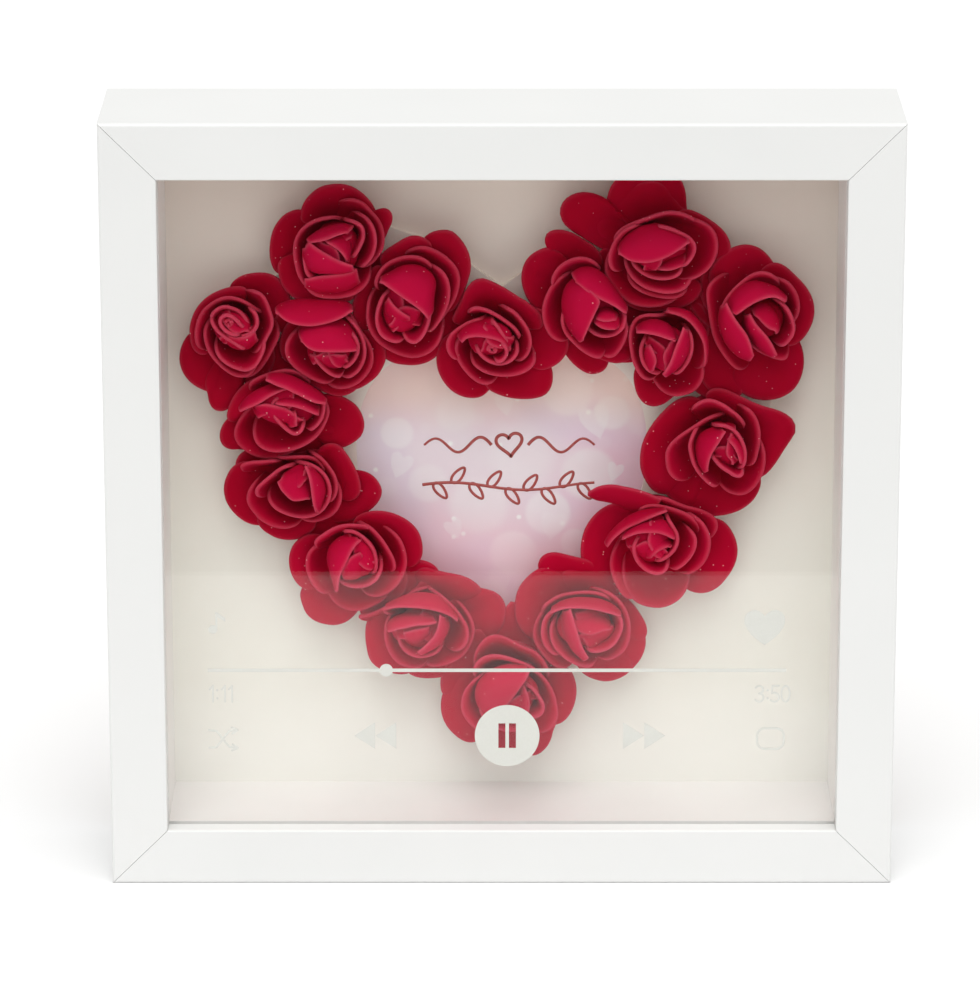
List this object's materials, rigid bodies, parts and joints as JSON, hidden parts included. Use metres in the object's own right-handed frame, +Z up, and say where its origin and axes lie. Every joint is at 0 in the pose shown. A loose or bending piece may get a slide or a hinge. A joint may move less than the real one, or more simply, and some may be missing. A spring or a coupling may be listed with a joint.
{
  "type": "shadow box photo frame",
  "caption": "Square white shadow-box picture frame with a heart-shaped ring of foam roses round a heart photo window, printed clear front and a removable back.",
  "frame": {"origin": "bottom centre of the box round the whole frame, at rest", "axes": "+X to the viewer's right, +Y from the front face to the back, +Z up; the front faces -Y"},
  "size_m": [0.2, 0.043, 0.2],
  "materials": {
    "white_foil": "satin white foil over MDF",
    "nail_steel": "bright steel strip",
    "clear_glass": "clear, polished",
    "white_ink": "screen-printed ink",
    "spacer_board": "satin white liner",
    "cream_card": "matt cream card",
    "ring_board": "matt white board",
    "photo_paper": "satin print, pink and lilac blur",
    "rose_foam": "matt foam, crimson",
    "hot_glue": "set hot glue",
    "backing_board": "brown fibreboard",
    "zinc_steel": "zinc plated",
    "screw_steel": "zinc plated",
    "ring_wire": "plated wire"
  },
  "bodies": {
    "frame": {"frame_rail_top": "white_foil", "frame_rail_bottom": "white_foil", "frame_rail_left": "white_foil", "frame_rail_right": "white_foil", "corner_v_nails": "nail_steel", "front_glazing": "clear_glass", "glazing_print": "white_ink", "spacer_top": "spacer_board", "spacer_bottom": "spacer_board", "spacer_left": "spacer_board", "spacer_right": "spacer_board", "background_card": "cream_card", "heart_ring": "ring_board", "photo_print": "photo_paper", "rose_01": "rose_foam", "rose_02": "rose_foam", "rose_03": "rose_foam", "rose_04": "rose_foam", "rose_05": "rose_foam", "rose_06": "rose_foam", "rose_07": "rose_foam", "rose_08": "rose_foam", "rose_09": "rose_foam", "rose_10": "rose_foam", "rose_11": "rose_foam", "rose_12": "rose_foam", "rose_13": "rose_foam", "rose_14": "rose_foam", "rose_15": "rose_foam", "rose_16": "rose_foam", "rose_17": "rose_foam", "rose_glue_dabs": "hot_glue", "back_board": "backing_board", "hanger_strap": "zinc_steel", "hanger_rivet": "screw_steel", "turn_button_screws": "screw_steel"},
    "turn_button_bottom": {"turn_button_bottom": "zinc_steel"},
    "turn_button_left": {"turn_button_left": "zinc_steel"},
    "turn_button_top": {"turn_button_top": "zinc_steel"},
    "turn_button_right": {"turn_button_right": "zinc_steel"},
    "hanger_ring": {"hanger_ring": "ring_wire"}
  },
  "joints": [
    {"name": "bottom_button_turn", "type": "hinge", "parent": "frame", "child": "turn_button_bottom", "pos_m": [0, 0.01917, 0.0052], "axis": [0, 1, 0], "range_deg": [-90, 90]},
    {"name": "left_button_turn", "type": "hinge", "parent": "frame", "child": "turn_button_left", "pos_m": [-0.0948, 0.01917, 0.1], "axis": [0, 1, 0], "range_deg": [-90, 90]},
    {"name": "top_button_turn", "type": "hinge", "parent": "frame", "child": "turn_button_top", "pos_m": [0, 0.01917, 0.1948], "axis": [0, 1, 0], "range_deg": [-90, 90]},
    {"name": "right_button_turn", "type": "hinge", "parent": "frame", "child": "turn_button_right", "pos_m": [0.0948, 0.01917, 0.1], "axis": [0, 1, 0], "range_deg": [-90, 90]},
    {"name": "hanger_ring_swing", "type": "hinge", "parent": "frame", "child": "hanger_ring", "pos_m": [0, 0.02, 0.152], "axis": [1, 0, 0], "range_deg": [0, 180]}
  ]
}
